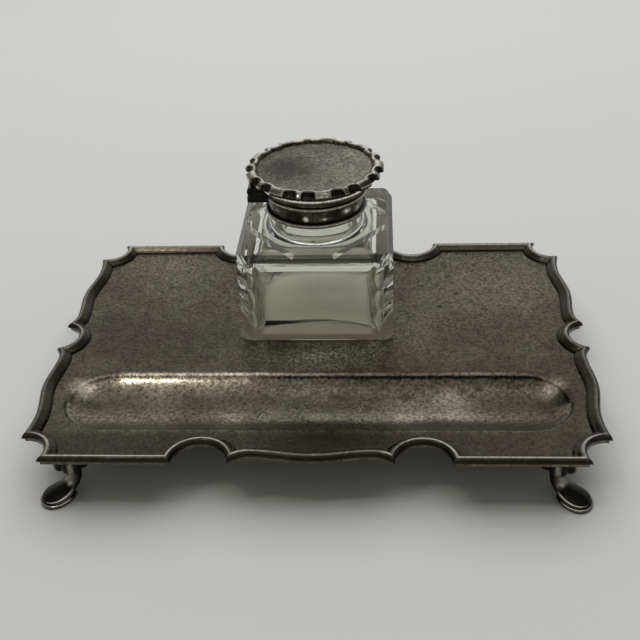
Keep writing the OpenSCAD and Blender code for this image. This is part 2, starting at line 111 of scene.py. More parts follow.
def remap(tree, value, low, high, to_low=0.0, to_high=1.0, kind="LINEAR"):
    """A value carried from the span low to high over to the span to_low to to_high, and held at its ends."""
    return add_node(tree, "MapRange", {"interpolation_type": kind}, Value=value, From_Min=low,
                    From_Max=high, To_Min=to_low, To_Max=to_high).outputs[0]


def mix(tree, share, a, b):
    """Colour a with the given share of colour b."""
    return add_node(tree, "Mix", {"data_type": "RGBA"}, Factor=share, _6=a, _7=b).outputs[2]


def new_material(name, **sockets):
    """A node material, its tree, and its Principled shader with the named sockets set."""
    material = bpy.data.materials.new(name)
    material.use_nodes = True
    tree = material.node_tree
    tree.nodes.clear()
    shader = add_node(tree, "BsdfPrincipled", **sockets)
    add_node(tree, "OutputMaterial", Surface=shader.outputs["BSDF"])
    return material, tree, shader


def room_tone(level):
    """The slightly warm grey of the room at a brightness."""
    return (level, level, level * 0.985, 1)


table_half = 40.0
table_mesh = bpy.data.meshes.new("table")
table_corners = [(x * table_half, y * table_half, 0) for x, y in ((-1, -1), (1, -1), (1, 1), (-1, 1))]
table_mesh.from_pydata(table_corners, [], [(0, 1, 2, 3)])
table = bpy.data.objects.new("table", table_mesh)
bpy.context.scene.collection.objects.link(table)
table_paint, table_tree, table_shader = new_material(
    "pale_table", Base_Color=tone(200, 201, 200), Roughness=0.55, Specular_IOR_Level=0.25)
# Between these distances from the object the table fades into the tone of the walls at eye level, so that
# no edge shows between them
fade_start, fade_end, eye_level = 0.35, 1.1, 0.595
table_place = object_place(table_tree)
table_away = add_node(table_tree, "VectorMath", {"operation": "LENGTH"}, _0=table_place)
fade = remap(table_tree, table_away.outputs["Value"], fade_start, fade_end, kind="SMOOTHSTEP")
far_table = add_node(table_tree, "Emission", Color=room_tone(eye_level))
table_surface = table_shader.outputs["BSDF"].links[0].to_socket
faded = add_node(table_tree, "MixShader", Fac=fade, _1=table_shader.outputs["BSDF"],
                 _2=far_table.outputs[0])
table_tree.links.new(faded.outputs[0], table_surface)
table_mesh.materials.append(table_paint)

room = bpy.data.worlds.new("room")
room.use_nodes = True
bpy.context.scene.world = room
room_tree = room.node_tree
room_tree.nodes.clear()
direction = add_node(room_tree, "TexCoord").outputs["Generated"]
direction = add_node(room_tree, "SeparateXYZ", Vector=direction).outputs
# The sine of the angle above eye level, and the brightness of the room there: behind the object, and in
# front, where a window stands above the viewer's head
back_stops = ((0.0, eye_level), (0.45, 0.62), (0.60, 0.30), (0.72, 0.24), (0.85, 0.42), (0.92, 0.5),
              (0.96, 1.1), (1.0, 1.2))
front_stops = ((0.0, eye_level), (0.45, 0.54), (0.54, 1.3), (0.68, 1.3), (0.75, 0.26), (0.91, 0.3),
               (0.96, 1.0), (1.0, 1.2))
halves = []
for stops in (back_stops, front_stops):
    wall_tones = add_node(room_tree, "ValToRGB", Fac=direction["Z"])
    while len(wall_tones.color_ramp.elements) < len(stops):
        wall_tones.color_ramp.elements.new(0.5)
    for stop, (place, level) in zip(wall_tones.color_ramp.elements, stops):
        stop.position = place
        stop.color = room_tone(level)
    halves.append(wall_tones.outputs["Color"])
in_front = remap(room_tree, direction["Y"], 0.0, -0.3, kind="SMOOTHSTEP")
walls = mix(room_tree, in_front, *halves)
# The walls show to the camera, in metal and through glass. All else gets the even light of fill_tone.
fill_tone = (0.25, 0.247, 0.222, 1)
paths = add_node(room_tree, "LightPath").outputs
seen = reckon(room_tree, "MAXIMUM", paths["Is Camera Ray"], paths["Is Glossy Ray"])
seen = reckon(room_tree, "MAXIMUM", seen, paths["Is Transmission Ray"])
backdrop = add_node(room_tree, "Background", Color=mix(room_tree, seen, fill_tone, walls),
                    Strength=1.0)
add_node(room_tree, "OutputWorld", Surface=backdrop.outputs[0])


def add_lamp(name, place, size, power, colour, in_gloss):
    """A rectangular soft light at a place, turned to the origin; in_gloss says if metal and glass show it."""
    data = bpy.data.lights.new(name, "AREA")
    data.shape = "RECTANGLE"
    data.size, data.size_y = size
    data.energy = power
    data.color = colour
    lamp = bpy.data.objects.new(name, data)
    turned_to_origin = (-Vector(place)).to_track_quat("-Z", "Y").to_matrix().to_4x4()
    lamp.matrix_world = Matrix.Translation(place) @ turned_to_origin
    lamp.visible_camera = False
    lamp.visible_glossy = in_gloss
    lamp.visible_transmission = in_gloss
    bpy.context.scene.collection.objects.link(lamp)


add_lamp("ceiling_light", (0.0, 0.47, 0.95), (1.5, 1.4), 13.2, (1.0, 1.0, 1.0), False)
add_lamp("desk_lamp", (-0.28, -0.12, 0.9), (0.09, 0.07), 0.38, (1.0, 0.92, 0.78), True)


# --- Tray sheet ---------------------------------------------------------------------------------
# One sheet of silver, pressed flat with a long, round-ended pen trough in its front half. It is
# heavily tarnished, with a fine dark mottle, purple-brown patches and a few darker spots.
def add_mesh(name, points, faces, wear_and_light=None):
    """A mesh object from an array of points and a list of faces, with doubles merged. Wear_and_light is the
    share of bright metal at each point, from 1, rubbed bare, down to -1, black with soot. It also carries
    painted highlights, above 0, and painted shade, below 0."""
    mesh = bpy.data.meshes.new(name)
    mesh.from_pydata(np.asarray(points).tolist(), [], [tuple(map(int, face)) for face in faces])
    worn_and_lit = np.zeros(len(points)) if wear_and_light is None else np.broadcast_to(wear_and_light, len(points))
    mesh.attributes.new("wear_and_light", "FLOAT", "POINT").data.foreach_set("value", worn_and_lit.astype(np.float32))
    body = bmesh.new()
    body.from_mesh(mesh)
    bmesh.ops.remove_doubles(body, verts=body.verts, dist=0.004 * mm)
    bmesh.ops.dissolve_degenerate(body, edges=body.edges, dist=0.001 * mm)
    bmesh.ops.recalc_face_normals(body, faces=body.faces)
    body.to_mesh(mesh)
    body.free()
    piece = bpy.data.objects.new(name, mesh)
    bpy.context.scene.collection.objects.link(piece)
    return piece


def fit(piece, body, slot, material, crease, *nodes):
    """Shades the piece smooth up to the crease angle, finishes it, and puts it in the place of CAD nodes."""
    piece.data.materials.clear()
    piece.data.materials.append(material)
    piece.data.shade_smooth()
    piece.data.set_sharp_from_angle(angle=math.radians(crease))
    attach(piece, body)
    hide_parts(*nodes)


def ramp(a, b, t):
    """A curve from a to b that is level at both ends: half a cosine wave."""
    return a + (b - a) * (1 - np.cos(np.pi * t)) / 2


def flick(a, b, t):
    """A curve from a, where it is level, to b, where it is steep: a parabola."""
    return a + (b - a) * t ** 2


def stations(a, b, spacing):
    """Even places from 0 up to, and without, 1 for a stretch from a to b."""
    steps = max(3, round(np.linalg.norm(np.subtract(b, a)) / spacing))
    return np.arange(steps) / steps


def notch(p, q, depth, spacing):
    """The arc from p to q whose middle lies depth to the left of its chord: centre plus radius
    times the cosine and sine of an angle that runs evenly from end to end."""
    p, q = np.array(p), np.array(q)
    chord = np.linalg.norm(q - p)
    radius = (chord ** 2 / 4 + depth ** 2) / (2 * depth)
    along = (q - p) / chord
    left = np.array([-along[1], along[0]])
    centre = (p + q) / 2 + left * (depth - radius)
    turn = math.asin(min(1, chord / 2 / radius))
    half = math.pi - turn if depth > radius else turn
    steps = round(2 * half * radius / spacing)
    angle = -half + 2 * half * np.arange(steps) / steps
    return centre + radius * (left * np.cos(angle)[:, None] + along * np.sin(angle)[:, None])


# Half sizes of the tray over its tips, and its levels
tray_low, tray_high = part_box("tray_border")
half_l, half_d = tray_high.x, tray_high.y
sheet_top, rim_top = tray_low.z, tray_high.z
sheet_t = 0.9 * mm
# The front edge: a wave between two round notches, then a straight to the corner
notch_x, notch_r, straight_in = 33.1 * mm, 8.4 * mm, 0.3 * mm
wave_mid_in, wave_in, wave_x = 1.1 * mm, 3.0 * mm, 18.5 * mm
# The corner notch, and the side with its hollow, lobe, waist and middle notch
corner_cut_x, corner_cut_y, corner_depth, corner_in = 9.2 * mm, 10.6 * mm, 4.3 * mm, 1.7 * mm
side_hollow_y, side_hollow_in = 43.5 * mm, 3.0 * mm
side_lobe_y, side_lobe_in = 27.0 * mm, 1.0 * mm
side_waist_y, side_waist_in = 13.0 * mm, 2.1 * mm
side_notch_half, side_notch_depth = 7.0 * mm, 5.7 * mm


def tray_outline(spacing):
    """The tray's outline, counter-clockwise: the front right quarter, mirrored to the back, then to the left.
    Each stretch runs between two stations (distance along the edge, depth inside the tips)."""
    def stretch(a, b, curve, side):
        t = stations(a, b, spacing)
        depth = curve(b[1], a[1], 1 - t) if side == "steep start" else curve(a[1], b[1], t)
        along = a[0] + (b[0] - a[0]) * t
        return np.column_stack((along, depth - half_d) if side == "front" else (half_l - depth, -along))

    tip = notch_x - notch_r
    corner_y = half_d - corner_cut_y
    corner_a = (half_l - corner_cut_x, straight_in - half_d)
    corner_b = (half_l - corner_in, -corner_y)
    notch_end = (notch_x + notch_r, straight_in - half_d)
    straight_t = stations(notch_end, corner_a, spacing)[:, None]
    parts = [
        stretch((0, wave_mid_in), (wave_x, wave_in), ramp, "front"),
        stretch((wave_x, wave_in), (tip, 0), flick, "front"),
        notch((tip, -half_d), notch_end, notch_r, spacing),
        np.array(notch_end) + (np.array(corner_a) - notch_end) * straight_t,
        notch(corner_a, corner_b, corner_depth, spacing),
        stretch((corner_y, corner_in), (side_hollow_y, side_hollow_in), flick, "steep start"),
        stretch((side_hollow_y, side_hollow_in), (side_lobe_y, side_lobe_in), ramp, "side"),
        stretch((side_lobe_y, side_lobe_in), (side_waist_y, side_waist_in), ramp, "side"),
        stretch((side_waist_y, side_waist_in), (side_notch_half, 0), flick, "side"),
    ]
    half_notch = notch((half_l, -side_notch_half), (half_l, side_notch_half), side_notch_depth, spacing)
    parts.append(half_notch[half_notch[:, 1] <= 1e-6])
    quarter = np.concatenate(parts)
    right = np.concatenate([quarter, (quarter * [1, -1])[::-1]])
    whole = np.concatenate([right, (right * [-1, 1])[::-1]])
    return whole[np.linalg.norm(whole - np.roll(whole, 1, 0), axis=1) > 0.05 * mm]


def inward(loop):
    """For each point of a counter-clockwise loop, the unit normal towards the inside, and the
    greatest distance that it can move along it before another stretch of the loop is nearer.
    That distance is the least of |r - p|^2 / (2 n.(r - p)) over the loop's other points r."""
    forward = np.roll(loop, -1, 0) - loop
    forward /= np.linalg.norm(forward, axis=1)[:, None]
    mean = forward + np.roll(forward, 1, 0)
    mean /= np.linalg.norm(mean, axis=1)[:, None]
    normal = np.stack([-mean[:, 1], mean[:, 0]], axis=1)
    gap = loop[None] - loop[:, None]
    ahead = np.einsum("ijk,ik->ij", gap, normal)
    reach = np.where(ahead > 1e-9, (gap ** 2).sum(2) / (2 * np.maximum(ahead, 1e-9)), 1.0)
    room = reach.min(1)
    sharp_turn = math.radians(20)
    sharp = (forward * np.roll(forward, 1, 0)).sum(1) < math.cos(sharp_turn)
    room[sharp] = 0
    return normal, room


def rings(loop, normal, room, depths):
    """Points on the loops that lie at each depth inside a loop, with their depths and their place round the
    loop. A point stops where its room ends, so the loops meet along the mitres of the corners."""
    points, levels = [], []
    for depth in depths:
        free = room >= depth
        points.append(loop[free] + normal[free] * depth)
        levels.append(np.full(free.sum(), depth))
    ends = (room > 0) & (room < depths[-1])
    points.append(loop[ends] + normal[ends] * room[ends, None])
    levels.append(room[ends])
    return np.concatenate(points), np.concatenate(levels)


def chain(start, count):
    """The edges of a closed loop of points."""
    return [(start + i, start + (i + 1) % count) for i in range(count)]


def net(points, edges):
    """A Delaunay net over a plan that keeps the given edges, without what lies outside them: its points, its
    triangles, and the number of the given point that each of its points is."""
    corners, _, triangles, given, *_ = delaunay_2d_cdt([tuple(p) for p in points], edges, [], 1, 0.003 * mm)
    first_given = [ids[0] if ids else 0 for ids in given]
    return np.array([tuple(corner) for corner in corners]), np.array(triangles), np.array(first_given)


def slab(plan, faces, top, bottom, rim):
    """A closed solid over a plan: a top and a bottom at the given heights, and walls along the rim."""
    count = len(plan)
    points = np.concatenate([np.column_stack([plan, top]), np.column_stack([plan, bottom])])
    walls = np.column_stack([rim, np.roll(rim, -1), np.roll(rim, -1) + count, rim + count])
    return points, [*faces.tolist(), *(faces[:, ::-1] + count).tolist(), *walls.tolist()]


trough_y = 30.2 * mm - half_d
trough_half, trough_w, trough_depth = 66.25 * mm, 28.5 * mm, 4.4 * mm
trough_r = (trough_w ** 2 / 4 + trough_depth ** 2) / (2 * trough_depth)
# The rounding of the trough's edge, and the slight unevenness of the old sheet
edge_round = 0.7 * mm
waviness = 0.05 * mm


def trough_distance(plan):
    """How far each point of the plan lies from the trough's middle line."""
    beyond = np.maximum(np.abs(plan[:, 0]) - trough_half, 0)
    return np.hypot(beyond, plan[:, 1] - trough_y)


def sunk(plan, radius):
    """How deep a round-ended bar of the given radius sinks the sheet: the bar's depth below the sheet's
    face where that is positive, rounded off over edge_round where it passes zero."""
    away = np.minimum(trough_distance(plan), radius * 0.98)
    depth = np.sqrt(radius ** 2 - away ** 2) - (trough_r - trough_depth)
    blend = np.clip((depth + edge_round) / (2 * edge_round), 0, 1)
    return np.where(depth > edge_round, depth, blend ** 2 * edge_round)


def uneven(plan):
    """A sum of slow waves, from -1 to 0, that stands for the dents of years of use."""
    x, y = plan[:, 0] / mm, plan[:, 1] / mm
    waves = (np.sin(x / 9.1 + 0.7 * np.sin(y / 13)) + np.sin(y / 7.3 + x / 21 + 1.1)
             + np.sin(x / 17 - y / 11.7 + 2.3))
    return waves / 6 - 0.5


sheet_loop = tray_outline(1.0 * mm)
sheet_normal, sheet_room = inward(sheet_loop)
sheet_inset = 0.4 * mm
kept = sheet_room > sheet_inset
sheet_edge = (sheet_loop + sheet_normal * sheet_inset)[kept]
grid_x, grid_y = np.meshgrid(np.arange(-half_l, half_l, 1.5 * mm), np.arange(-half_d, half_d, 1.5 * mm))
grid = np.column_stack([grid_x.ravel(), grid_y.ravel()])
deepest = sheet_edge[((grid[:, None] - sheet_edge[None]) ** 2).sum(2).argmin(1)]
clear_of_edge = np.linalg.norm(grid - deepest, axis=1) > 1.0 * mm
clear_of_trough = trough_distance(grid) > trough_w / 2 + 2 * mm
grid = grid[clear_of_edge & clear_of_trough]
# Round-ended loops that follow the trough, close together near its edge: straight lines, and half circles
loop_at = np.concatenate([np.arange(1.5, 13, 1.5), np.arange(13.2, 16.5, 0.3)]) * mm
line_steps, bend_steps = 90, 41
line_x = np.linspace(-trough_half, trough_half, line_steps)
bend = np.linspace(-np.pi / 2, np.pi / 2, bend_steps)[1:-1]
trough_loops = [np.column_stack([line_x, np.full(line_steps, trough_y)])]
for away in loop_at:
    bend_x, bend_y = trough_half + away * np.cos(bend), trough_y + away * np.sin(bend)
    for side in (-1, 1):
        trough_loops.append(np.column_stack([line_x, np.full(line_steps, trough_y + side * away)]))
    for side in (1, -1):
        trough_loops.append(np.column_stack([side * bend_x, bend_y]))
sheet_points = np.concatenate([sheet_edge, grid, *trough_loops])
sheet_plan, sheet_faces, sheet_ids = net(sheet_points, chain(0, len(sheet_edge)))
order = {int(given): made for made, given in enumerate(sheet_ids)}
sheet_rim = np.array([order[i] for i in range(len(sheet_edge)) if i in order])
sheet_dip = uneven(sheet_plan) * waviness
sheet_high = sheet_top - sunk(sheet_plan, trough_r) + sheet_dip
sheet_under = sheet_top - sheet_t - sunk(sheet_plan, trough_r + sheet_t) + sheet_dip


def hill(value, middle, spread):
    """A smooth hill, 1 at the middle: e to the power of minus the square of the distance over the spread."""
    return np.exp(-((value - middle) / spread) ** 2)


def climb(value, start, end):
    """A straight climb from 0 at the start to 1 at the end, level outside them."""
    return np.clip((value - start) / (end - start), 0, 1)


# Brighter and darker places on the sheet: x, y and spread in mm, and how much they change the wear. Most are
# painted light: painted highlights in the trough and at its ends, a painted reflection of the inkwell in
# front of it, and painted shade at the inkwell's left and in the trough.
sheet_light_and_wear_places = (
    (-62, 50, 16, 0.14), (62, 30, 20, 0.17), (-49, -2, 13, -0.24), (-76, 8, 10, -0.26), (-33, 3, 8, -0.20),
    (0, -9, 13, 0.32), (38, 3, 14, 0.05), (43, -33, 7, 0.85), (-52, -29, 6, 0.3), (-69, -23, 4, -0.4),
    (-77.5, -26.5, 3.2, 1.7), (75.5, -26.5, 3.2, 1.7), (-64, -22, 2, 0.5), (2, -36, 8, 1.0),
    (2, -43, 8, -0.5), (40, -43, 6, -0.55), (-36, -43, 8, -0.2), (15, -36, 7, 0.5), (28, -35, 8, 0.65),
    (-12, -37, 7, 0.55), (-26, -38, 8, 0.3))
sheet_away = trough_distance(sheet_plan) / mm
sheet_back = sheet_plan[:, 1] > trough_y
plan_x, plan_y = (sheet_plan / mm).T
sheet_wear_and_light = np.where(sheet_away < 14.0, 0.13, 0.0)
for x, y, spread, change in sheet_light_and_wear_places:
    sheet_wear_and_light = sheet_wear_and_light + change * hill(np.hypot(plan_x - x, plan_y - y), 0, spread)
# The back of the trough, by the distance from its middle line in mm: a painted highlight along the edge,
# brightest at the left, over a band of painted shade, then a painted highlight streak at the left, and a
# slope darkened with painted shade
highlight_strength = 0.08 + 0.75 * climb(plan_x, -8, -22) + 0.28 * climb(plan_x, 36, 48)
edge_highlight = hill(sheet_away, 14.3, 0.6) * highlight_strength * climb(np.abs(plan_x), 66, 64)
highlight_streak = 0.9 * hill(sheet_away, 12.2, 0.55) * climb(plan_x, -66, -64) * climb(plan_x, -36, -52)
shaded_band = 0.85 * (hill(sheet_away, 13.1, 0.5) + hill(sheet_away, 11.6, 2.4) * climb(plan_x, -24, -10))
shaded_slope = hill(sheet_away, 7.0, 3.5) * (0.25 + 0.35 * hill(plan_x, 5, 30))
# The front of the trough: a slope darkened with painted shade, and a dark line of painted shade along the
# crease. Before it, a greenish black strip.
shaded_front_slope = 0.3 * hill(sheet_away, 9.0, 3.5) * climb(plan_x, -30, 0)
crease = 0.95 * hill(sheet_away, 14.1, 0.45)
strip = climb(plan_y, -49.5, -51) * (0.42 - 0.30 * climb(plan_x, 20, 70))
sheet_wear_and_light = sheet_wear_and_light - strip + np.where(sheet_back, edge_highlight + highlight_streak - shaded_band - shaded_slope,
                                           -shaded_front_slope - crease)
sheet = add_mesh("pressed_sheet", *slab(sheet_plan, sheet_faces, sheet_high, sheet_under, sheet_rim),
                 np.tile(sheet_wear_and_light, 2))


def tarnished(name, dull, stain, bright, speck_size, grain, polish, mottled=1.0, spots=()):
    """Old silver. Slow clouds mix the dull colour with the stain, and a mottle of two sizes darkens and
    brightens both. Pits are darker still. The wear_and_light attribute lets the bright metal show, or soot
    cover it, and with these it lays painted highlights and painted shade on the metal.
    Grain is the height of the mottle, polish is the roughness of the cleanest metal, mottled is the strength
    of the mottle, and each spot is a darker blot: its place and its radius."""
    material, tree, shader = new_material(name, Metallic=1.0)
    place = object_place(tree)

    def noise(scale, detail, roughness=0.5, output="Fac"):
        return add_node(tree, "TexNoise", Vector=place, Scale=scale, Detail=detail,
                        Roughness=roughness).outputs[output]

    def scaled(a, b):
        return reckon(tree, "MULTIPLY", a, b)

    stained = remap(tree, noise(38.0, 4.0, 0.6), 0.44, 0.62, kind="SMOOTHSTEP")
    fine, broad = noise(1 / speck_size, 4.0, 0.7), noise(0.28 / speck_size, 3.0, 0.6)
    mottle = scaled(remap(tree, fine, 0.40, 0.58, 1 - 0.38 * mottled, 1 + 0.34 * mottled),
                    remap(tree, broad, 0.38, 0.62, 1 - 0.14 * mottled, 1 + 0.12 * mottled))
    cells = add_node(tree, "TexVoronoi", Vector=place, Scale=0.42 / speck_size).outputs["Distance"]
    patch = noise(120.0, 2.0)
    pit = scaled(remap(tree, cells, 0.10, 0.30, 1.0, 0.0), remap(tree, patch, 0.5, 0.62))
    mottle = scaled(mottle, remap(tree, pit, 0.0, 1.0, 1.0, 1 - 0.55 * mottled))
    # The noise that frays the spots' edges also shifts them by half its reach, which is put right
    fray = 1.6 * mm
    frayed = add_node(tree, "VectorMath", {"operation": "MULTIPLY_ADD"},
                      _0=noise(500.0, 3.0, output="Color"), _1=(fray,) * 3, _2=place).outputs[0]
    for spot, radius in spots:
        away = add_node(tree, "VectorMath", {"operation": "DISTANCE"}, _0=frayed,
                        _1=[along + fray / 2 for along in spot]).outputs["Value"]
        mottle = scaled(mottle, remap(tree, away, radius * 0.6, radius * 1.3, 0.55, 1.0, "SMOOTHSTEP"))
    wear_and_light = add_node(tree, "Attribute", {"attribute_name": "wear_and_light"}).outputs["Fac"]
    rubbed_and_highlit = reckon(tree, "MAXIMUM", wear_and_light, 0.0)
    sooty_and_shaded = reckon(tree, "MAXIMUM", scaled(wear_and_light, -1.0), 0.0)
    # Rubbed and sooty places, and painted highlights and painted shade, are smoother and more even than the
    # mottled tarnish
    even = remap(tree, reckon(tree, "ABSOLUTE", wear_and_light), 0.0, 1.0, 0.0, 0.6)
    mottle = reckon(tree, "ADD", scaled(mottle, reckon(tree, "SUBTRACT", 1.0, even)), even)
    bare_and_highlit = scaled(rubbed_and_highlit, remap(tree, fine, 0.38, 0.6, 1 - 0.45 * mottled, 1 + 0.25 * mottled))
    colour = mix(tree, bare_and_highlit, mix(tree, stained, dull, stain), bright)
    mottled_metal = add_node(tree, "VectorMath", {"operation": "SCALE"}, _0=colour, Scale=mottle)
    # Below zero the metal darkens towards near black: soot, and painted shade
    soot_and_shade = scaled(sooty_and_shaded, remap(tree, fine, 0.4, 0.6, 1.1, 0.8))
    colour = mix(tree, soot_and_shade, mottled_metal.outputs[0], tone(16, 15, 12))
    tree.links.new(colour, shader.inputs["Base Color"])
    roughness = scaled(remap(tree, mottle, 0.6, 1.3, polish + 0.18, polish),
                       remap(tree, rubbed_and_highlit, 0.0, 1.0, 1.0, 0.55))
    tree.links.new(roughness, shader.inputs["Roughness"])
    dents = add_node(tree, "Bump", Height=patch, Strength=0.35, Distance=0.10 * mm).outputs[0]
    bump = add_node(tree, "Bump", Height=fine, Strength=1.0, Distance=grain, Normal=dents)
    tree.links.new(bump.outputs[0], shader.inputs["Normal"])
    return material


# Darker blots on the sheet: x, y and radius in mm
blots = np.array([
    (31, 46.6, 1.1), (39.3, 40, 1.0), (45.3, 48.3, 1.3), (46.2, 41.3, 1.2), (35.7, 34.4, 1.0),
    (41.9, 35, 1.2), (56.8, 49.2, 1.2), (48.5, 28.8, 1.4), (41.9, 20.3, 1.0), (53.4, 23.5, 1.1),
    (56.1, 25.6, 1.0), (58, 18.2, 1.2), (28.7, -28, 1.9), (16.7, -32.6, 1.7), (52.7, -24.3, 1.5),
    (47.2, -24.9, 1.3), (-58, 34, 1.2), (-35, 20, 1.0)]) * mm
blot_places = np.column_stack([blots[:, :2], sheet_top - sunk(blots[:, :2], trough_r)]).tolist()
sheet_silver = tarnished("tarnished_sheet", tone(120, 114, 100), tone(108, 99, 88), tone(212, 203, 184),
                         1.1 * mm, 0.05 * mm, 0.24, 1.0, list(zip(blot_places, blots[:, 2].tolist())))
fit(sheet, "tray", "dark_silver", sheet_silver, 35, "tray_plate")


# --- Tray border --------------------------------------------------------------------------------
# A moulding of cast silver soldered round the sheet: a bold round bead, with a hollow slope down to the
# sheet inside it. It is mitred at each tip. Painted shade makes its outer face and the step inside it almost
# black, and the bead's crest is rubbed and carries a painted highlight.

# The upper face at each depth inside the outline: depth and height in mm, and wear: painted shade on the
# outer face and in the step down to the sheet, and rubbed metal with a painted highlight on the crest
border_depths, border_heights, border_wears_and_light = np.array([
    (0, 0.5, -0.3), (0.06, 0.95, -0.7), (0.18, 1.32, -0.8), (0.38, 1.62, -0.6), (0.62, 1.8, -0.4),
    (0.9, 1.89, 0.15), (1.2, 1.9, 1.0), (1.5, 1.86, 0.7), (1.8, 1.75, 0.2), (2.1, 1.58, 0.0),
    (2.4, 1.36, 0.0), (2.7, 1.12, 0.0), (3.0, 0.9, 0.0), (3.3, 0.7, 0.0), (3.55, 0.56, -0.3),
    (3.75, 0.42, -0.8), (3.9, 0.24, -0.95), (4.1, 0.06, -0.95), (4.3, 0.0, -0.9)]).T
# The underside, darkened with painted shade: depth and height in mm, and wear
under_depths, under_heights, under_painted_shade = np.array([
    (0, 0.5, -0.3), (0.12, 0.22, -0.3), (0.35, 0.05, -0.4), (0.7, 0.0, -0.5), (4.3, 0.0, -0.5)]).T
border_loop = tray_outline(0.45 * mm)
border_normal, border_room = inward(border_loop)


def moulding(name, loop, normal, room, upper, lower, base, top):
    """A closed moulding inside a loop, seen as two heights over its plan: the upper and the lower face are
    both functions of the distance inside the loop, and they meet at the loop and at the last depth. Each
    face is given by its depths, heights and wears, which carry painted highlights and painted shade too."""
    depths = upper[0]
    inner = room >= depths[-1]
    inner_loop = loop[inner] + normal[inner] * depths[-1]
    points, faces, worn_and_lit = [], [], []
    for these, levels, wears_and_light in (upper, lower):
        ring_points, ring_depths = rings(loop, normal, room, these[1:-1])
        plan = np.concatenate([loop, inner_loop, ring_points])
        depth = np.concatenate([np.zeros(len(loop)), np.full(len(inner_loop), these[-1]), ring_depths])
        edges = chain(0, len(loop)) + chain(len(loop), len(inner_loop))
        made, triangles, ids = net(plan, edges)
        in_hole = (ids[triangles] >= len(loop)) & (ids[triangles] < len(loop) + len(inner_loop))
        triangles = triangles[~in_hole.all(1)]
        z = np.minimum(base + np.interp(depth[ids], these, levels), top)
        start = sum(len(p) for p in points)
        points.append(np.column_stack([made, z]))
        faces.append(triangles + start)
        worn_and_lit.append(np.interp(depth[ids], these, wears_and_light))
    return add_mesh(name, np.concatenate(points), np.concatenate(faces), np.concatenate(worn_and_lit))


border = moulding("border_moulding", border_loop, border_normal, border_room,
                  (border_depths * mm, border_heights * mm, border_wears_and_light),
                  (under_depths * mm, under_heights * mm, under_painted_shade), sheet_top, rim_top)
# At the tray's sides the bright crest, rubbed metal with a painted highlight, is dimmed, so that it is less
# bright than at the front and the back
border_count = len(border.data.vertices)
border_at, border_wear_and_light = np.zeros(border_count * 3), np.zeros(border_count)
border.data.vertices.foreach_get("co", border_at)
border.data.attributes["wear_and_light"].data.foreach_get("value", border_wear_and_light)
at_side = climb(np.abs(border_at[::3]), half_l - 9 * mm, half_l - 5 * mm)
border_wear_and_light = np.where(border_wear_and_light > 0, border_wear_and_light * (1 - 0.55 * at_side), border_wear_and_light)
border.data.attributes["wear_and_light"].data.foreach_set("value", border_wear_and_light)
border_silver = tarnished("tarnished_border", tone(66, 63, 56), tone(58, 51, 44), tone(240, 235, 222),
                          1.2 * mm, 0.006 * mm, 0.12, 0.4)
fit(border, "tray", "border_silver", border_silver, 50, "tray_border")


# --- Feet ---------------------------------------------------------------------------------------
# Four silver castings soldered under the corners: a fluted shell, a ringed leg, and a spoon-shaped
# toe on a thin pad. They splay outwards, and are almost black.
foot_turn = math.radians(31)
ankle_x, ankle_y = half_l - 18.7 * mm, half_d - 6.0 * mm
leaf_r, leaf_middle = 5.6 * mm, 1.0 * mm
# Each station of the leg and toe, in mm: distance along the toe, height, half width, half thickness
leg_stations = np.array([
    (1.5, 14.6, 3.0, 2.9), (1.4, 13.2, 2.4, 2.3), (1.1, 12.2, 1.75, 1.75), (0.8, 11.6, 2.05, 1.95),
    (0.6, 11.0, 2.15, 2.0), (0.4, 10.4, 1.75, 1.7), (0.2, 9.2, 1.6, 1.6), (0.2, 7.9, 1.7, 1.65),
    (0.6, 6.5, 2.1, 1.7), (1.4, 5.3, 2.7, 1.65), (2.8, 4.2, 3.4, 1.5), (4.6, 3.35, 4.0, 1.3),
    (6.6, 2.75, 4.3, 1.1), (8.6, 2.35, 4.15, 0.85), (10.2, 2.1, 3.4, 0.6), (11.3, 1.95, 2.1, 0.35),
    (11.8, 1.9, 0.4, 0.12)]) * mm
leg_sides = 28
pad_middle, pad_long, pad_wide = 7.1 * mm, 5.6 * mm, 4.5 * mm
# Each ring of the pad: share of its outline, height in mm, and wear
pad_rings = ((0.01, 0.0, -0.5), (0.92, 0.0, -0.4), (0.99, 0.25, -0.2), (1.0, 0.6, 0.1), (0.99, 0.95, 0.3),
             (0.93, 1.2, 0.5), (0.84, 1.22, 0.1), (0.78, 1.0, -0.8), (0.01, 0.95, -0.8))
# Each ring of the shell: share of its radius, and drop below the sheet in mm
shell_rings = ((0.02, 0.0), (0.9, 0.0), (0.94, 0.8), (0.98, 1.8), (1.0, 2.8), (0.99, 3.4), (0.92, 3.9),
               (0.78, 4.3), (0.62, 4.7), (0.47, 5.2), (0.38, 5.9), (0.02, 6.2))


def spline(stations, count):
    """Even points on the Catmull-Rom curve through the stations: each point is a cubic blend of the four
    stations round it."""
    held = np.concatenate([stations[:1], stations, stations[-1:]])
    at = np.linspace(0, len(stations) - 1, count)
    i = np.minimum(at.astype(int), len(stations) - 2)
    t = (at - i)[:, None]
    a, b, c, d = held[i], held[i + 1], held[i + 2], held[i + 3]
    return (2 * b + (c - a) * t + (2 * a - 5 * b + 4 * c - d) * t ** 2 + (3 * b - a - 3 * c + d) * t ** 3) / 2


def loft(rings_of_points):
    """The points and faces of a skin over rings with equal counts, closed round each and at both ends."""
    rings_of_points = np.asarray(rings_of_points)
    count, sides = rings_of_points.shape[:2]
    at = np.arange(count * sides).reshape(count, sides)
    across = np.roll(at, -1, axis=1)
    quads = np.stack([at[:-1], across[:-1], across[1:], at[1:]], axis=-1).reshape(-1, 4)
    return rings_of_points.reshape(-1, 3), [*quads.tolist(), at[0, ::-1].tolist(), at[-1].tolist()]


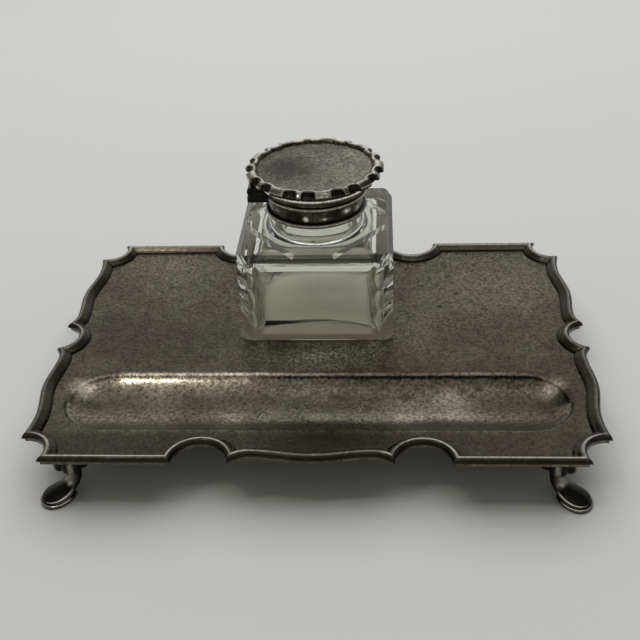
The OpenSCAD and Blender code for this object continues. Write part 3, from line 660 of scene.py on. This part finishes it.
def foot_leg():
    """Ellipses across a curve in the plane of the toe: each ring is the station's place, plus the half width
    sideways times the cosine, plus the half thickness square to the curve times the sine."""
    u, z, wide, thick = spline(leg_stations, 90).T
    du, dz = np.gradient(u), np.gradient(z)
    length = np.hypot(du, dz)
    angle = np.linspace(0, 2 * np.pi, leg_sides, endpoint=False)
    side, up = np.cos(angle), np.sin(angle)
    # A soft ridge down the front of the leg and along the middle of the toe
    ridge = 1 + 0.22 * np.clip(up, 0, 1) ** 6
    out_u = (dz / length)[:, None] * -up * ridge * thick[:, None]
    out_z = (du / length)[:, None] * up * ridge * thick[:, None]
    on_toe = climb(u[:, None], 2.5 * mm, 4.5 * mm)
    # Painted highlight along the top of the leg and painted shade under it; on the toe, bright edges over
    # darker metal
    light_and_wear = (0.25 * np.clip(up, 0, 1) ** 3 - 0.5 * np.clip(-up, 0, 1)) * (1 - on_toe)
    light_and_wear = light_and_wear + on_toe * (0.85 * climb(np.abs(side), 0.93, 0.98) - 0.15)
    points = np.stack([u[:, None] + out_u, wide[:, None] * side, z[:, None] + out_z], axis=-1)
    return *loft(points), light_and_wear.ravel()


def foot_pad():
    """Egg-shaped rings: the middle, plus the length times the cosine, and the width times the sine, which is
    greater towards the toe."""
    angle = np.linspace(0, 2 * np.pi, 48, endpoint=False)
    share, level, wear_and_light = np.array(pad_rings).T[:, :, None]
    u = pad_middle + share * pad_long * np.cos(angle)
    w = share * pad_wide * np.sin(angle) * (1 + 0.2 * np.cos(angle))
    return *loft(np.stack([u, w, level * mm + 0 * u], axis=-1)), (wear_and_light + 0 * u).ravel()


def foot_shell(under_sheet):
    """A fluted dish under the sheet: five flutes, a cosine of the angle, scallop its edge and its face."""
    angle = np.linspace(0, 2 * np.pi, 80, endpoint=False)
    flute = np.abs(np.cos(2.5 * angle))
    share, drop = np.array(shell_rings).T[:, :, None]
    radius = leaf_r * share * (1 - 0.14 * (1 - flute) * np.minimum(1, 2.2 * share))
    depth = drop * mm * (0.82 + 0.18 * flute)
    u, w = leaf_middle + radius * np.cos(angle), radius * np.sin(angle)
    return *loft(np.stack([u, w, under_sheet - depth], axis=-1)), (0.9 * flute ** 3 - 0.6 + 0 * u).ravel()


foot_silver = tarnished("tarnished_feet", tone(36, 35, 32), tone(28, 26, 23), tone(212, 204, 190),
                        1.0 * mm, 0.006 * mm, 0.10, 0.4)
foot_points, foot_faces, foot_wear_and_light = [], [], []
for part_points, part_faces, part_wear_and_light in (foot_leg(), foot_pad(), foot_shell(sheet_top - sheet_t)):
    start = sum(len(points) for points in foot_points)
    foot_points.append(part_points)
    foot_faces += [[i + start for i in face] for face in part_faces]
    foot_wear_and_light.append(part_wear_and_light)
# Each foot is the casting turned outwards and mirrored to its corner
u, w, z = np.concatenate(foot_points).T
along = u * math.cos(foot_turn) + w * math.sin(foot_turn)
across = u * math.sin(foot_turn) - w * math.cos(foot_turn)
for node in ("foot_front_left", "foot_front_right", "foot_back_left", "foot_back_right"):
    side_x, side_y = (-1 if "left" in node else 1), (-1 if "front" in node else 1)
    placed = np.column_stack([side_x * (ankle_x + along), side_y * (ankle_y + across), z])
    foot = add_mesh(node.replace("foot", "cast_foot"), placed, foot_faces, np.concatenate(foot_wear_and_light))
    fit(foot, "tray", "dark_silver", foot_silver, 40, node)


# --- Glass --------------------------------------------------------------------------------------
# The inkwell is one block of clear glass with cut corners and mitres, and a square cavity that years
# of ink and washing have left cloudy. Its cut edges are slightly rounded by polishing.
def softened(node, edge, width, steps):
    """A merged copy of a CAD node with its flat faces made whole and its edges rounded."""
    piece = bpy.data.objects.new("soft_" + node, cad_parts[node].data.copy())
    bpy.context.scene.collection.objects.link(piece)
    body = bmesh.new()
    body.from_mesh(piece.data)
    bmesh.ops.remove_doubles(body, verts=body.verts, dist=0.002 * mm)
    bmesh.ops.dissolve_limit(body, angle_limit=math.radians(0.5), verts=body.verts, edges=body.edges)
    body.to_mesh(piece.data)
    body.free()
    rounding = piece.modifiers.new("rounding", "BEVEL")
    rounding.width = width
    rounding.segments = steps
    rounding.limit_method = "ANGLE"
    rounding.angle_limit = math.radians(edge)
    rounding.use_clamp_overlap = True
    return piece


glass_low, glass_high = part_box("glass_well")
well_x, well_y = (glass_low.x + glass_high.x) / 2, (glass_low.y + glass_high.y) / 2
glass = softened("glass_well", 25, 0.3 * mm, 2)
crystal, _, _ = new_material("clear_glass", Base_Color=tone(247, 249, 244), Roughness=0.0, IOR=1.52,
                             Transmission_Weight=1.0)
fit(glass, "inkwell", "cut_glass", crystal, 22, "glass_well")

# The finish of each kind of face: its roughness, the share of light that goes straight through, its colour.
# The top bevel's dark colour is painted shade.
films = (("clouded_floor", 0.35, 0.35, tone(190, 186, 170)), ("hazy_walls", 0.01, 0.97, tone(232, 233, 226)),
         ("clouded_roof", 0.04, 0.95, tone(238, 239, 233)), ("top_bevel", 0.0, 1.0, tone(44, 44, 38)),
         ("cut_groove", 0.15, 0.8, tone(236, 237, 232)), ("ground_foot", 0.4, 0.3, tone(176, 172, 152)))
for name, roughness, clear_share, tint in films:
    film, film_tree, film_shader = new_material(name, Base_Color=tint, Roughness=roughness, IOR=1.52,
                                                Transmission_Weight=clear_share)
    glass.data.materials.append(film)
# The last one, the ground foot, is painted brown between these distances from the block's middle: a painted
# reflection of the brown tray below
painted_reflection_start, painted_reflection_end, painted_reflection_tone = 17.5 * mm, 20.5 * mm, tone(88, 78, 60)
foot_place = object_place(film_tree)
for step, other in (("SUBTRACT", (well_x, well_y, 0)), ("ABSOLUTE", (0, 0, 0))):
    foot_place = add_node(film_tree, "VectorMath", {"operation": step}, _0=foot_place,
                          _1=other).outputs[0]
foot_place = add_node(film_tree, "SeparateXYZ", Vector=foot_place).outputs
foot_away = reckon(film_tree, "MAXIMUM", foot_place["X"], foot_place["Y"])
at_edge = remap(film_tree, foot_away, painted_reflection_start, painted_reflection_end, kind="SMOOTHSTEP")
film_tree.links.new(mix(film_tree, at_edge, films[-1][3], painted_reflection_tone), film_shader.inputs["Base Color"])

# Faces and corners are told apart by where they lie in the block, in mm: the reach of the cavity and its
# levels, the reach and the levels of the bore, and where the shoulder's grooves and bevel begin
cavity_reach, cavity_low, cavity_floor_top, cavity_roof_low, cavity_high = 20.5, 17.5, 22.5, 38.0, 42.0
bore_reach, bore_low, bore_high = 12.7, 40.5, 60.4
groove_low, groove_reach, bevel_low = 44.0, 20.0, 47.0


def three_each(source, name):
    """The three numbers that each face or corner of the glass holds under a name, as rows."""
    numbers = np.zeros(len(source) * 3)
    source.foreach_get(name, numbers)
    return numbers.reshape(-1, 3)


middles = (three_each(glass.data.polygons, "center") - [well_x, well_y, 0]) / mm
facing = np.abs(three_each(glass.data.polygons, "normal"))
level, off_axis = middles[:, 2], np.hypot(middles[:, 0], middles[:, 1])
in_cavity = (np.abs(middles[:, :2]).max(1) < cavity_reach) & (level > cavity_low) & (level < cavity_high)
in_bore = (off_axis < bore_reach) & (level > bore_low) & (level < bore_high)
up, sideways = facing[:, 2], facing[:, :2].min(1)
on_bevel = (np.abs(up - math.sqrt(0.5)) < 0.05) & (sideways < 0.02) & (level > bevel_low)
in_groove = (off_axis > groove_reach) & (level > groove_low) & (up > 0.1) & (up < 0.97)
film_of = {name: place for place, (name, *_) in enumerate(films, 1)}
film_places = {
    "ground_foot": level < glass_low.z / mm + 0.01, "clouded_floor": in_cavity & (level < cavity_floor_top),
    "clouded_roof": in_bore | in_cavity & (level > cavity_roof_low), "hazy_walls": in_cavity,
    "top_bevel": on_bevel, "cut_groove": in_groove}
finish = np.select(list(film_places.values()), [film_of[name] for name in film_places], 0)
glass.data.polygons.foreach_set("material_index", finish.astype(np.int32))
# Seen through the front face, the cavity comes nearer to the block's faces than the source's plain one: its
# walls and roof are moved outwards by this share and this height
wall_share, roof_lift = 1.09, 3.9 * mm
corners = three_each(glass.data.vertices, "co") - [well_x, well_y, 0]
side_reach, level = np.abs(corners[:, :2]).max(1) / mm, corners[:, 2] / mm
of_cavity = (side_reach < cavity_reach) & (level > cavity_low) & (level < cavity_high)
of_wall = of_cavity & (np.hypot(corners[:, 0], corners[:, 1]) > bore_reach * mm)
corners[of_wall, :2] *= wall_share
corners[of_cavity & (level > cavity_roof_low), 2] += roof_lift
glass.data.vertices.foreach_set("co", (corners + [well_x, well_y, 0]).ravel())
glass.data.update()
# The cavity's floor is a low dome, so its front edge shows as an arch: the floor is cut into strips, and each
# point is raised by dome_rise, less dome_fall times the square of its distance from the middle
dome_rise, dome_fall, cavity_half, strip_cuts = 4.4 * mm, 3.3 * mm, 20.3 * mm, 15
floor_film = film_of["clouded_floor"]
body = bmesh.new()
body.from_mesh(glass.data)
for along in (Vector((1, 0, 0)), Vector((0, 1, 0))):
    for at in (np.linspace(-0.85, 0.85, strip_cuts) * cavity_half).tolist():
        floor_faces = [face for face in body.faces if face.material_index == floor_film]
        floor_edges = {edge for face in floor_faces for edge in face.edges}
        floor_points = {point for face in floor_faces for point in face.verts}
        bmesh.ops.bisect_plane(body, geom=[*floor_points, *floor_edges, *floor_faces],
                               plane_co=Vector((well_x, well_y, 0)) + along * at, plane_no=along)
for point in {point for face in body.faces if face.material_index == floor_film for point in face.verts}:
    away = ((point.co.x - well_x) ** 2 + (point.co.y - well_y) ** 2) / cavity_half ** 2
    point.co.z += dome_rise - dome_fall * away
body.to_mesh(glass.data)
body.free()
# Light from the large lamp goes through the clear block, and lights the cloudy faces and the tray below
glass.visible_shadow = False


# --- Plaster ------------------------------------------------------------------------------------
# The plaster that holds the collar on the neck. It is dark, and it is all but hidden: it only
# shows a little through the glass of the neck.
plaster, plaster_tree, plaster_shader = new_material("plaster", Roughness=0.9)
plaster_place = object_place(plaster_tree)
plaster_grain = add_node(plaster_tree, "TexNoise", Vector=plaster_place, Scale=900.0, Detail=4.0)
plaster_tree.links.new(mix(plaster_tree, plaster_grain.outputs["Fac"], tone(46, 42, 34), tone(74, 68, 56)),
                       plaster_shader.inputs["Base Color"])


def refinish(node, material):
    """Another finish for a CAD piece that keeps its mesh."""
    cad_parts[node].data.materials.clear()
    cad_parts[node].data.materials.append(material)


refinish("neck_cement", plaster)


# --- Collar -------------------------------------------------------------------------------------
# A plain band of sheet silver between two half-round wires, plastered on the neck. The band is dark
# with dull stains, and painted shade darkens its edges by the wires. The wires are rubbed bright along
# their crests, with a painted highlight there, and painted shade above and below it.
def round_axis(radius, angle, level):
    """Points round the inkwell's axis: radius times the cosine and the sine of the angle, at the level."""
    x, y = well_x + radius * np.cos(angle), well_y + radius * np.sin(angle)
    return np.stack(np.broadcast_arrays(x, y, level), axis=-1).reshape(-1, 3)


def tube_faces(count, sides):
    """The faces of a closed tube of count points, carried in a closed round of the given sides."""
    at = np.arange(count * sides).reshape(count, sides)
    up, across = np.roll(at, -1, axis=0), np.roll(at, -1, axis=1)
    return np.stack([at, across, np.roll(up, -1, axis=1), up], axis=-1).reshape(-1, 4).tolist()


def turned(profile, sides, wobble):
    """A closed profile carried round the inkwell's axis, its radius changed by a slow wave of the angle: the
    points, the faces and the wear. Each point of the profile has a radius, a height and a wear, and the
    profile runs counter-clockwise, with the axis at its left."""
    angle = np.linspace(0, 2 * np.pi, sides, endpoint=False)
    waves = wobble * (np.sin(3 * angle + 1) + np.sin(7 * angle) * 0.6 + np.sin(13 * angle + 2) * 0.3)
    radius, level, wear_and_light = np.asarray(profile).T[:, :, None]
    return (round_axis(radius + waves, angle, level), tube_faces(len(profile), sides),
            np.repeat(wear_and_light, sides))


def half_round(inner, outer, low, high, light_and_wear):
    """The profile of a half-round wire: flat inside, above and below, with a half circle outside that is
    rubbed and carries a painted highlight along its crest, as bright as light_and_wear says, and painted
    shade on its flat faces and where the half circle meets them."""
    swell, bow_steps = (high - low) / 2, 14
    angle = np.linspace(-np.pi / 2, np.pi / 2, bow_steps)
    bow = np.column_stack([outer - swell + swell * np.cos(angle), low + swell + swell * np.sin(angle),
                           (light_and_wear + 0.8) * np.cos(angle) ** 2 - 0.8])
    return np.concatenate([[(inner, low, -0.8)], bow, [(inner, high, -0.8)]])


ring_sides = 256
band_low_corner, band_high_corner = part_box("collar_band")
band_r = band_high_corner.x - well_x
band_bore = band_r - 0.6 * mm
ring_wobble = 0.025 * mm

worn_silver = tarnished("worn_silver", tone(94, 89, 80), tone(74, 66, 58), tone(252, 248, 236),
                        1.0 * mm, 0.010 * mm, 0.12, 0.75)
band_silver = tarnished("tarnished_band", tone(82, 78, 69), tone(60, 54, 46), tone(240, 235, 224),
                        0.7 * mm, 0.008 * mm, 0.12, 1.0)
for node in ("collar_foot_wire", "collar_rim_wire"):
    low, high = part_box(node)
    wire_r = high.x - well_x - 1.9 * ring_wobble
    wire_profile = half_round(band_bore, wire_r, low.z, high.z, 0.3)
    wire = add_mesh(node.replace("collar_", ""), *turned(wire_profile, ring_sides, ring_wobble))
    fit(wire, "inkwell", "worn_silver", worn_silver, 45, node)
band_z = band_low_corner.z, band_high_corner.z
# The band's face is slightly darkened, and its edges by the wires more, with painted shade
band_profile = [(band_bore, band_z[0], -0.8), (band_r - 0.05 * mm, band_z[0], -0.8),
                *[(band_r - 0.03 * mm, band_z[0] + rise * mm, -0.3) for rise in np.arange(0.4, 3.8, 0.3)],
                (band_r - 0.05 * mm, band_z[1], -0.9), (band_bore, band_z[1], -0.9)]
band_points, band_faces, band_wear_and_shade = turned(band_profile, ring_sides, 0.02 * mm)
# Rubbed places round the band: angle in degrees, height above its foot in mm, spreads of both, and strength
band_angle = np.degrees(np.arctan2(band_points[:, 1] - well_y, band_points[:, 0] - well_x))
rubbed_places = ((-99, 1.5, 3.5, 0.9, 1.6), (-48, 2.4, 7, 0.9, 1.5), (-30, 1.5, 5, 1.0, 1.3),
                 (-75, 1.4, 9, 0.6, 0.8), (28, 1.6, 9, 1.2, 0.8), (85, 2.0, 12, 1.4, 0.8),
                 (150, 1.6, 8, 1.2, 0.9), (-140, 2.2, 8, 0.8, 0.7))
for angle, height, wide, tall, strength in rubbed_places:
    turn = (band_angle - angle + 180) % 360 - 180
    band_rise = (band_points[:, 2] - band_z[0]) / mm
    band_wear_and_shade = band_wear_and_shade + strength * hill(turn, 0, wide) * hill(band_rise, height, tall)
band = add_mesh("plain_band", band_points, band_faces, band_wear_and_shade)
fit(band, "inkwell", "dark_silver", band_silver, 45, "collar_band")


# --- Lid ----------------------------------------------------------------------------------------
# A shallow silver cap: a plain skirt with a bold bead, a wall, a flat top, and a cast border of
# paired scallops soldered round it. The border's rim is rubbed bright and carries a painted highlight, and
# its scallops are black with painted shade, as are the creases above and below the bead.
skirt_low, wall_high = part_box("lid_wall")
border_low, border_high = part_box("lid_border")
plate_low, plate_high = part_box("lid_plate")
lid_sheet = 0.8 * mm
bead_r, skirt_r, wall_t = wall_high.x - well_x, band_r + 0.7 * mm, 2.1 * mm
lid_r, wall_r = border_high.x - well_x, plate_high.x - well_x
skirt_base, bead_base, bead_top = skirt_low.z, skirt_low.z + 2.0 * mm, skirt_low.z + 3.7 * mm
repeats, scallop_r, scallop_depth, pair_angle = 9, 2.4 * mm, 2.2 * mm, 15.5
# The outline is first worked out at this many angles, and its cusps are then rounded off: each radius is the
# mean of this many on either side of it
fine_steps, cusp_reach = 40000, 55

skirt_in = skirt_r - lid_sheet
# The skirt is slightly darkened, and the wall next to the bead darkened more, with painted shade
wall_profile = np.concatenate([
    [(skirt_in, skirt_base, -0.8), (skirt_r, skirt_base, -0.3), (skirt_r, bead_base, -0.9)],
    half_round(skirt_in, bead_r - 0.05 * mm, bead_base, bead_top, 1.0)[1:-1],
    [(wall_r - 0.02 * mm, bead_top, -0.9), (wall_r - 0.02 * mm, plate_low.z, -0.9),
     (wall_r - wall_t, plate_low.z, -0.8), (wall_r - wall_t, bead_top, -0.8), (skirt_in, bead_top, -0.8)]])
wall = add_mesh("lid_side", *turned(wall_profile, ring_sides, 0.02 * mm))
fit(wall, "lid", "dark_silver", worn_silver, 40, "lid_wall")


def lid_outline(spacing):
    """The angle and the radius along the border's outline, at an even spacing. The radius is the least, at
    each angle, of the lid's circle and the scallops, circles whose middles lie outside the lid's edge."""
    angle = np.linspace(0, 2 * np.pi, fine_steps + 1)
    away = lid_r - scallop_depth + scallop_r
    radius = np.full(len(angle), lid_r)
    for i in range(repeats):
        for side in (-0.5, 0.5):
            middle = math.radians((i + 0.5) * 360 / repeats + side * pair_angle)
            turn = (angle - middle + np.pi) % (2 * np.pi) - np.pi
            across = np.abs(away * np.sin(turn))
            near = away * np.cos(turn) - np.sqrt(np.maximum(scallop_r ** 2 - across ** 2, 0))
            radius = np.where((across < scallop_r) & (np.abs(turn) < 1), np.minimum(radius, near), radius)
    window = 2 * cusp_reach + 1
    radius = np.convolve(np.pad(radius[:-1], cusp_reach, mode="wrap"), np.full(window, 1 / window), "valid")
    radius = np.append(radius, radius[0])
    place = np.column_stack([radius * np.cos(angle), radius * np.sin(angle)])
    run = np.concatenate([[0], np.cumsum(np.linalg.norm(np.diff(place, axis=0), axis=1))])
    even = np.linspace(0, run[-1], round(run[-1] / spacing), endpoint=False)
    return np.interp(even, run, angle), np.interp(even, run, radius)


# The border's section, in mm and above the plate. From the plate it rises to a crest, which bows outwards
# between the scallops. Each point has its share of the way to the crest, its height and its wear: painted
# shade where it meets the plate, and rubbed metal with a painted highlight on the crest.
crest_share, crest_z, crest_wear_and_light = np.array([
    (0.0, 0.0, -0.95), (0.16, 0.02, -0.95), (0.28, 0.25, -0.8), (0.42, 0.55, -0.5), (0.58, 0.78, 0.4),
    (0.8, 0.9, 1.0), (1.0, 0.9, 1.0)]).T[:, :, None]
# Then it slopes to the edge: the share of the way, and the wear, rubbed metal with painted highlight
slope_share, slope_wear_and_light = np.array([
    (0.1, 1.0), (0.22, 0.8180), (0.36, 0.4540), (0.5, 0.3), (0.64, 0.23), (0.77, 0.165), (0.88, 0.33),
    (0.95, 0.4875), (1.0, 0.6)]).T[:, :, None]
# Then the side goes down, slightly hollow: the depth, the inset, how far a lip fills the scallops, and the
# wear on the lobes and the painted shade in the scallops
side_depth, side_inset, side_lip, lobe_wear_and_light, bite_shade = np.array([
    (0.5, 0.02, 0.0, 0.5, -0.95), (0.9, 0.12, 0.15, -0.2, -1.0), (1.25, 0.12, 0.75, -0.2, -0.9),
    (1.4, 0.25, 1.0, 0.5, -0.4), (1.48, 0.5, 0.9, -0.6, -0.9)]).T[:, :, None]
crest_low_r, crest_bow, crest_top, lip_r = 20.3, 0.42, 0.9, 22.4

border_angle, edge_r = lid_outline(0.22 * mm)
in_bite = climb(lid_r - edge_r, 0, 1.1 * mm)
inner_r, edge_r, deepest_r = wall_r / mm, edge_r / mm, (lid_r - scallop_depth) / mm
crest_r = crest_low_r + crest_bow * (edge_r - deepest_r)
face_r = np.concatenate([inner_r + crest_share * (crest_r - inner_r),
                         crest_r + slope_share * (edge_r - crest_r)])
# The slope falls as the square of its share: far on the lobes, and little above a scallop
face_z = np.concatenate([crest_z + 0 * crest_r, crest_top - slope_share ** 2 * (1.05 - 0.5 * in_bite)])
# Above a scallop the slope darkens towards the edge with painted shade
face_wear_and_light = np.concatenate([crest_wear_and_light + 0 * crest_r, slope_wear_and_light - slope_share * 1.3 * in_bite])
# Cloths rub some stretches of the crest more than others, and painted shade darkens the edge above the
# scallops
unrubbed = 0.2 * (1 + np.sin(5 * border_angle + 1) * np.sin(8 * border_angle + 4))
face_wear_and_light = face_wear_and_light - unrubbed * (face_wear_and_light > 0) - 0.3 * in_bite * climb(edge_r - face_r, 0.4, 0)
side_r = edge_r - side_inset + side_lip * np.maximum(lip_r - edge_r, 0)
base_z = (border_low.z - plate_high.z) / mm
side_z = face_z[-1] - (face_z[-1] - base_z) * side_depth / side_depth[-1]
side_wear_and_light = lobe_wear_and_light * (1 - in_bite) + bite_shade * in_bite
# The underside goes back to the lid's wall
closing = np.zeros((1, len(edge_r)))
section_r = np.concatenate([face_r, side_r, closing + inner_r]) * mm
section_z = plate_high.z + np.concatenate([face_z, side_z, closing + base_z]) * mm
section_wear_and_light = np.concatenate([face_wear_and_light, side_wear_and_light, closing - 0.9])
lid_border = add_mesh("scalloped_border", round_axis(section_r, border_angle, section_z),
                      tube_faces(*section_r.shape), section_wear_and_light.ravel())
fit(lid_border, "lid", "worn_silver", worn_silver, 45, "lid_border")

# The plate's top, from its middle to its edge: radius and height in mm. It has sunk a little with use.
plate_top = ((0.001, 0.0), (3, 0.0), (6, -0.02), (9, -0.05), (12, -0.06), (15, -0.03), (18, 0.0),
             (19.18, -0.02))
plate_profile = [(plate_top[0][0] * mm, plate_low.z, -0.5), (plate_top[-1][0] * mm, plate_low.z, -0.5),
                 *[(radius * mm, plate_high.z + height * mm, 0) for radius, height in reversed(plate_top)]]
lid_points, lid_faces, lid_wear = turned(plate_profile, ring_sides, 0.0)
# A darker, purple-brown patch at the left, and brighter metal at the right
patch_x, patch_y, patch_spread, bright_reach = -10 * mm, -1 * mm, 9.5 * mm, 14 * mm
lid_x, lid_y = lid_points[:, 0] - well_x, lid_points[:, 1] - well_y
lid_dark_patch = hill(np.hypot(lid_x - patch_x, lid_y - patch_y), 0, patch_spread)
lid_wear = lid_wear - 0.8 * lid_dark_patch + 0.12 * climb(lid_x, 0, bright_reach)
lid_plate = add_mesh("lid_top", lid_points, lid_faces, lid_wear)
plate_silver = tarnished("lid_top_silver", tone(140, 135, 124), tone(124, 116, 106), tone(214, 210, 196),
                         0.9 * mm, 0.03 * mm, 0.26)
fit(lid_plate, "lid", "lid_silver", plate_silver, 40, "lid_plate")
refinish("lid_guide", band_silver)


# --- Hinge --------------------------------------------------------------------------------------
# Two silver knuckles soldered to the collar, and one to the lid, on a wire pin. They are almost
# black.
for node, body, slot in (("collar_hinge", "inkwell", "dark_silver"), ("hinge_pin", "inkwell", "worn_silver"),
                         ("lid_hinge", "lid", "dark_silver")):
    fit(softened(node, 30, 0.2 * mm, 2), body, slot, foot_silver, 30, node)
